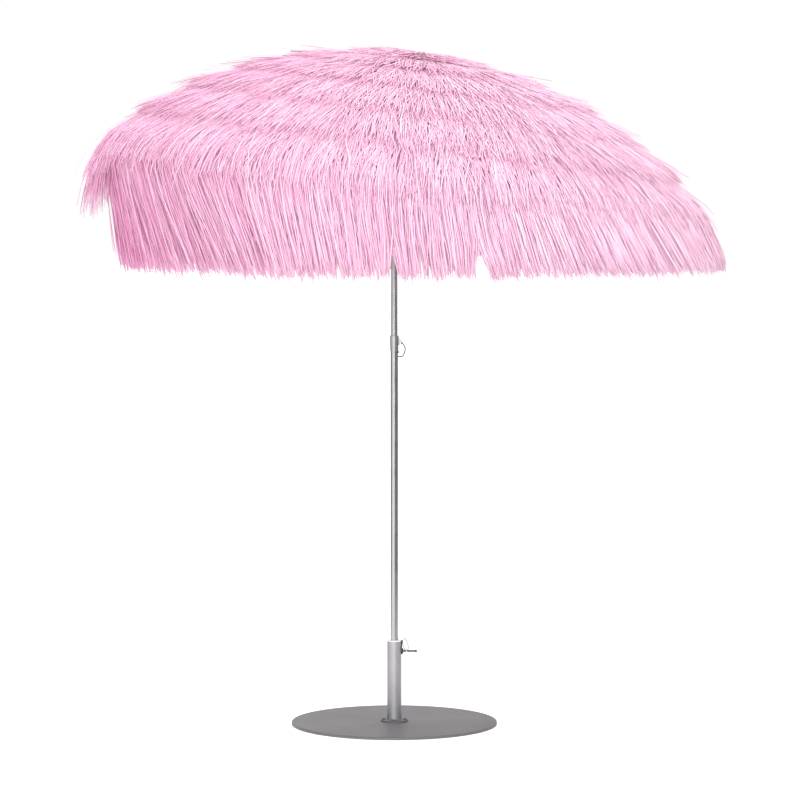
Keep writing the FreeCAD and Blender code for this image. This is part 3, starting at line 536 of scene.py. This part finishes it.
def twist(rng, centres, normals, amount):
    """Turns each strip about its own length, more towards its tip."""
    strips, points = centres.shape[:2]
    forward = unit(np.gradient(centres, axis=1))
    side = unit(np.cross(forward, normals))
    share = np.linspace(0, 1, points)[None]
    angle = rng.normal(0, amount, (strips, 1)) * (0.35 + share) + rng.normal(0, amount * 0.5, (strips, 1))
    return normals * np.cos(angle)[..., None] + side * np.sin(angle)[..., None]


def strip_widths(rng, strips, points):
    width = STRIP_WIDTH * rng.uniform(0.65, 1.25, (strips, 1))
    share = np.linspace(0, 1, points)[None]
    return width * (1 - 0.55 * np.clip((share - 0.8) / 0.2, 0, 1) ** 2)


def roof_rows(rng):
    """The short strips, sewn to the lining in overlapping rows. Returns a list of strip groups."""
    groups = []
    for row, tip in enumerate(ROW_TIPS):
        root = max(0.008, tip - ROW_LENGTH)
        middle = LINING_RADIUS * math.sin((0.65 * tip + 0.35 * root) / LINING_RADIUS)
        strips = int(ROW_DENSITY * 2 * math.pi * middle)
        clump = smooth_noise(rng, 9, 20, 90)
        swirl = smooth_noise(rng, 5, 3, 14)
        azimuths = rng.uniform(0, 2 * math.pi, strips)
        arcs = np.abs(root + rng.normal(0, ROOT_SPREAD, strips)) + ROOT_INSET
        last = row == len(ROW_TIPS) - 1
        lengths = (tip - root) * rng.normal(1.0, LENGTH_SPREAD, strips) + LENGTH_CLUMPS * clump(azimuths)
        skew = rng.normal(0, SKEW_SPREAD, strips) + SKEW_SWIRLS * swirl(azimuths)
        skew = skew + SKEW_CLUMPS * clump(azimuths)
        loose = rng.random(strips) > 1 - LOOSE_SHARE
        flare = np.where(loose, rng.uniform(0.0, LOOSE_FLARE if row else TOP_LOOSE_FLARE, strips), 0.0)
        lengths = np.where(loose, lengths * rng.uniform(1.0, LOOSE_STRETCH, strips), lengths)
        rise = ROW_RISE * (LAST_ROW_RISE if last else 1.0) + rng.normal(0, RISE_SPREAD, strips)
        rise = rise + RISE_CLUMPS * clump(azimuths)
        limp = rng.uniform(*ROW_LIMPNESS, strips)
        if last:
            off_tuft = np.abs(azimuths - TUFT_AZIMUTH) / TUFT_HALF_ANGLE
            tuft = np.clip(TUFT_FULLNESS * (1 - off_tuft), 0, 1) * (rng.random(strips) > 1 - TUFT_SHARE)
            lengths = lengths + tuft * TUFT_LENGTH * rng.uniform(TUFT_SHORTEST, 1.0, strips)
            limp = limp + TUFT_LIMPNESS * tuft
        heights = rng.uniform(*ROW_HEIGHTS, strips)
        points = LAST_ROW_POINTS if last else ROW_POINTS
        centres, normals = grow(rng, arcs, azimuths, heights, lengths, points, skew, rise, flare, limp,
                                np.full(strips, DRIFT), ROW_WANDER)
        tints = strip_tints(rng, clump(azimuths), azimuths, 0.5 + tip)
        groups.append((azimuths, centres, twist(rng, centres, normals, ROW_TWIST),
                       strip_widths(rng, strips, points), tints))
    groups.append(crown(rng))
    return groups


def crown(rng):
    """The innermost strips, sewn over the cap in the middle."""
    strips, points = CROWN_STRIPS, ROW_POINTS
    azimuths = rng.uniform(0, 2 * math.pi, strips)
    arcs = rng.uniform(0.002, 0.020, strips)
    heights = CROWN_HEIGHT + rng.uniform(0, CROWN_DEPTH, strips)
    lengths = CROWN_REACH * rng.normal(1.0, 0.12, strips)
    rise = CROWN_RISE + rng.normal(0, 0.002, strips)
    skew = rng.normal(0, 0.15, strips)
    centres, normals = grow(rng, arcs, azimuths, heights, lengths, points, skew, rise, np.zeros(strips),
                            np.full(strips, 0.15), np.full(strips, DRIFT), 0.14)
    tints = strip_tints(rng, np.zeros(strips), azimuths, 0.5)
    faces = twist(rng, centres, normals, ROW_TWIST)
    return azimuths, centres, faces, strip_widths(rng, strips, points), tints


def strip_tints(rng, clump, azimuths, side_shade_weight):
    """Each strip's tone, from 0 to 1: mostly middling, with a few that catch the light."""
    # painted light and shade: each strip's tone is raised towards the low side, where the key lamp falls,
    # and lowered strongly on the high side, where the shade falls, scaled by the weight given for each
    # row, the crown and the fringe
    painted_side_shade = SIDE_LIGHT_AND_SHADE * side_shade_weight * (np.cos(azimuths) - 1.2 * np.clip(-np.cos(azimuths), 0, 1) ** 6)
    tints = rng.normal(TINT_MIDDLE, TINT_SPREAD, len(clump)) + TINT_CLUMPS * clump + painted_side_shade
    tints = np.clip(tints, 0, TINT_MOST)
    glint = rng.random(len(clump)) < GLINT_SHARE * np.clip(0.3 + clump, 0, 2)
    return np.where(glint, rng.uniform(0.88, 1.0, len(clump)), tints)


def fringe_layers(rng):
    """The long strips round the rim, in layers from the inside out."""
    groups = []
    circumference = 2 * math.pi * LINING_RADIUS * math.sin(RIM_ANGLE)
    for layer in range(FRINGE_LAYERS):
        outer = layer / (FRINGE_LAYERS - 1)
        strips = int(FRINGE_DENSITY * circumference)
        clump = smooth_noise(rng, 12, 40, 170)
        swirl = smooth_noise(rng, 6, 3, 20)
        azimuths = rng.uniform(0, 2 * math.pi, strips)
        arcs = RIM_ARC - rng.uniform(*FRINGE_INSETS, strips)
        heights = FRINGE_INNER + FRINGE_DEPTH * outer + rng.uniform(0, 0.003, strips)
        skew = rng.normal(0, FRINGE_SKEW, strips) + SKEW_SWIRLS * swirl(azimuths)
        low_side = np.clip(np.cos(azimuths), 0, 1)
        limp = rng.uniform(*FRINGE_LIMPNESS, strips) + OUTER_LIMPNESS * outer * rng.random(strips)
        limp = limp + LOW_SIDE_LIMPNESS * low_side
        high_side = np.clip(-np.cos(azimuths), 0, 1)
        drift = DRIFT + CORNER_DRIFT * np.sin(2 * azimuths) ** 2
        drift = drift + LOW_SIDE_DRIFT * low_side + HIGH_SIDE_DRIFT * high_side ** 4
        drift = drift + DRIFT_SWIRLS * swirl(azimuths) + rng.normal(0, DRIFT_SPREAD, strips)
        drift = drift + DRIFT_CLUMPS * clump(azimuths)
        level = FRINGE_LEVEL + rng.normal(0, FRINGE_SPREAD, strips) + FRINGE_CLUMPS * clump(azimuths)
        level = level + FRINGE_SHORT * (rng.random(strips) ** 8)
        roots = dome_point(arcs, azimuths, heights)
        fall_wanted = roots[:, 2] - level
        lengths = fall_wanted * 1.08
        points = FRINGE_POINTS
        zero = np.zeros(strips)
        state = rng.bit_generator.state
        for _ in range(FITTING_PASSES):
            rng.bit_generator.state = state
            centres, normals = grow(rng, arcs, azimuths, heights, lengths, points, skew, zero, zero,
                                    limp, drift, FRINGE_WANDER)
            fall = centres[:, 0, 2] - centres[:, -1, 2]
            lengths = lengths * fall_wanted / np.maximum(fall, 0.02)
        centres = part_fringe(centres)
        tints = strip_tints(rng, clump(azimuths), azimuths, 2.0)
        groups.append((azimuths, centres, twist(rng, centres, normals, FRINGE_TWIST),
                       strip_widths(rng, strips, points), tints))
    return groups


def part_fringe(centres):
    """Pushes the front strips aside where the fringe parts, more towards the lower edge."""
    parted = centres.copy()
    front = centres[..., 1] < 0
    above = centres[..., 2] - FRINGE_LEVEL
    for place, half_width, height in PARTINGS:
        off = parted[:, -1:, 0] - place
        opening = half_width * np.clip(1 - above / height, 0, 1) ** 0.7
        push = opening * np.clip(1 - np.abs(off) / (4 * half_width), 0, 1) * np.where(off < 0, -1, 1)
        parted[..., 0] += np.where(front, push, 0)
    return parted


def join_meshes(name, meshes):
    """One mesh from several, with their attributes."""
    objects = []
    for mesh in meshes:
        part = bpy.data.objects.new(name, mesh)
        bpy.context.scene.collection.objects.link(part)
        objects.append(part)
    with bpy.context.temp_override(active_object=objects[0], object=objects[0],
                                   selected_objects=objects, selected_editable_objects=objects):
        bpy.ops.object.join()
    joined = objects[0].data
    bpy.data.objects.remove(objects[0])
    joined.name = name
    return joined


def make_strips(groups, name, body, material):
    """Splits strips between the ribs' sectors, as one piece for each rib."""
    pieces = []
    for number in range(1, RIBS + 1):
        meshes = []
        for azimuths, centres, normals, widths, tints in groups:
            mine = sector_of(azimuths) == number
            meshes.append(strip_mesh(name, centres[mine], normals[mine], widths[mine], tints[mine]))
        mesh = join_meshes("%s_%d" % (name, number), meshes)
        piece = add_piece("%s_%d" % (name, number), mesh, material, "%s_%d" % (body, number))
        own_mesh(piece)
        pieces.append(piece)
    return pieces


# ---------------------------------------------------------------- lining

def shell_mesh(name, arcs, azimuths, heights, thickness):
    """A closed thin shell over a grid of places on the dome, with its outside at the heights given."""
    rows, columns = len(arcs), len(azimuths)
    arc, azimuth = np.meshgrid(arcs, azimuths, indexing="ij")
    height = np.broadcast_to(heights(arc, azimuth), arc.shape)
    outside = dome_point(arc, azimuth, height).reshape(-1, 3)
    inside = dome_point(arc, azimuth, height - thickness).reshape(-1, 3)
    count = rows * columns
    faces = []
    for row in range(rows - 1):
        for column in range(columns - 1):
            near = row * columns + column
            far = near + columns
            faces.append((near, far, far + 1, near + 1))
            faces.append((near + count, near + 1 + count, far + 1 + count, far + count))
    border = list(range(columns))
    border += [row * columns + columns - 1 for row in range(1, rows)]
    border += [(rows - 1) * columns + column for column in range(columns - 2, -1, -1)]
    border += [row * columns for row in range(rows - 2, 0, -1)]
    for near, far in zip(border, border[1:] + border[:1]):
        faces.append((near, far, far + count, near + count))
    mesh = bpy.data.meshes.new(name)
    mesh.from_pydata(np.concatenate([outside, inside]).tolist(), [], faces)
    mesh.shade_smooth()
    mesh.set_sharp_from_angle(angle=math.radians(50))
    return mesh


def sag(arc, azimuth):
    """The lining is taut over a rib and sags a little between ribs, as tensioned cloth does."""
    off_rib = np.abs(((azimuth + SECTOR / 2) % SECTOR) - SECTOR / 2) / (SECTOR / 2)
    return -LINING_SAG * np.sin(0.5 * math.pi * off_rib) ** 2 * (arc / RIM_ARC) ** 1.5


def make_lining(materials):
    """A cloth gore over each rib, with the tapes that the strips are sewn on and the rim's hem."""
    arcs = np.linspace(HUB_HOLE, RIM_ARC, 40)
    for number in range(1, RIBS + 1):
        middle = (number - 1) * SECTOR
        azimuths = np.linspace(middle - SECTOR / 2, middle + SECTOR / 2, 25)
        body = "rib_%d" % number
        gore = add_piece("lining_%d" % number,
                         shell_mesh("lining", arcs, azimuths, sag, LINING_THICKNESS),
                         materials["lining"], body)
        tapes = []
        for row, tip in enumerate(ROW_TIPS):
            tape_arcs = np.linspace(-TAPE_WIDTH / 2, TAPE_WIDTH / 2, 5) + max(0.045, tip - ROW_LENGTH)
            tapes.append(shell_mesh("tape", tape_arcs, azimuths,
                                    lambda arc, azimuth: sag(arc, azimuth) - LINING_THICKNESS,
                                    TAPE_THICKNESS))
        hem_arcs = np.linspace(RIM_ARC - HEM_WIDTH, RIM_ARC, 6)
        tapes.append(shell_mesh("hem", hem_arcs, azimuths,
                                lambda arc, azimuth: sag(arc, azimuth) - LINING_THICKNESS,
                                TAPE_THICKNESS))
        tapes.append(rib_pocket(number))
        mesh = join_meshes("tapes_%d" % number, tapes)
        tape = add_piece("tapes_%d" % number, mesh, materials["tape"], body)
        for piece in (gore, tape):
            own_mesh(piece)


def rib_pocket(number):
    """A cloth pocket under the rim that holds a rib's tip."""
    middle = (number - 1) * SECTOR
    arcs = np.linspace(RIM_ARC - POCKET_LENGTH, RIM_ARC - 0.004, 12)
    azimuths = middle + np.linspace(-1, 1, 13) * POCKET_HALF_WIDTH / RIM_REACH

    def bulge(arc, azimuth):
        across = np.clip(np.abs(azimuth - middle) * RIM_REACH / POCKET_HALF_WIDTH, 0, 1)
        return -LINING_THICKNESS - TAPE_THICKNESS - POCKET_DEPTH * np.cos(0.5 * math.pi * across) ** 0.7
    return shell_mesh("pocket", arcs, azimuths, bulge, TAPE_THICKNESS)


# ---------------------------------------------------------------- stage

def make_camera():
    camera = bpy.data.objects.new("camera", bpy.data.cameras.new("camera"))
    camera.data.sensor_width = 36.0
    camera.data.lens = CAMERA_LENS
    camera.data.clip_end = 100.0
    camera.location = CAMERA_PLACE
    camera.rotation_euler = (math.radians(90 - CAMERA_PITCH), 0, 0)
    bpy.context.scene.collection.objects.link(camera)
    bpy.context.scene.camera = camera


def make_light(name, place, target, size, power):
    data = bpy.data.lights.new(name, "AREA")
    data.shape = "DISK"
    data.size = size
    data.energy = power
    light = bpy.data.objects.new(name, data)
    light.location = place
    light.rotation_euler = (Vector(target) - Vector(place)).to_track_quat("-Z", "Y").to_euler()
    bpy.context.scene.collection.objects.link(light)


def make_card(name, azimuth, width, tone):
    """A grey card beside the object, which the bright steel mirrors. The camera doesn't see it."""
    n = Nodes("%s_paper" % name, Roughness=1.0, Specular_IOR_Level=0.0)
    n.shader.inputs["Base Color"].default_value = (tone, tone, tone, 1)
    mesh = bpy.data.meshes.new(name)
    half = width / 2
    corners = [(-half, 0, 0), (half, 0, 0), (half, 0, CARD_HEIGHT), (-half, 0, CARD_HEIGHT)]
    mesh.from_pydata(corners, [], [(0, 1, 2, 3)])
    mesh.materials.append(n.material)
    card = bpy.data.objects.new(name, mesh)
    angle = math.radians(azimuth)
    card.location = (CARD_DISTANCE * math.sin(angle), -CARD_DISTANCE * math.cos(angle), 0)
    card.rotation_euler = (0, 0, angle)
    card.visible_camera = False
    bpy.context.scene.collection.objects.link(card)


def make_stage():
    n = Nodes("floor_paint", Roughness=0.9, Emission_Strength=FLOOR_GLOW)
    n.shader.inputs["Base Color"].default_value = (0.92, 0.92, 0.92, 1)
    n.shader.inputs["Emission Color"].default_value = (1, 1, 1, 1)
    bpy.ops.mesh.primitive_plane_add(size=FLOOR_SIZE, location=(0, 0, -FLOOR_GAP))
    floor = bpy.context.object
    floor.name = "floor"
    floor.data.materials.append(n.material)
    world = bpy.data.worlds.new("studio")
    world.use_nodes = True
    world.node_tree.nodes["Background"].inputs["Color"].default_value = (1, 1, 1, 1)
    world.node_tree.nodes["Background"].inputs["Strength"].default_value = WORLD_LIGHT
    bpy.context.scene.world = world
    bpy.context.scene.view_settings.view_transform = "Standard"
    for light in LIGHTS:
        make_light(*light)
    for card in CARDS:
        make_card(*card)


# ---------------------------------------------------------------- the object

def paint_nodes(materials):
    slots = {row["node"]: row["material_slot"] for row in frame["record"]["subparts"]}
    for node, obj in frame["nodes"].items():
        material = materials.get(slots[node])
        if material is None:
            continue
        if not obj.material_slots:
            obj.data.materials.append(material)
        for slot in obj.material_slots:
            slot.material = material


def main():
    materials = make_materials()
    make_camera()
    make_stage()
    paint_nodes(materials)
    rng = np.random.default_rng(SEED)
    make_lining(materials)
    rows = make_strips(roof_rows(rng), "raffia_rows", "rib", materials["raffia"])
    fringe = make_strips(fringe_layers(rng), "raffia_fringe", "valance", materials["raffia"])
    for number in range(RIBS):
        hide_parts("thatch_%d" % (number + 1))
        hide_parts("valance_%d" % (number + 1))


main()
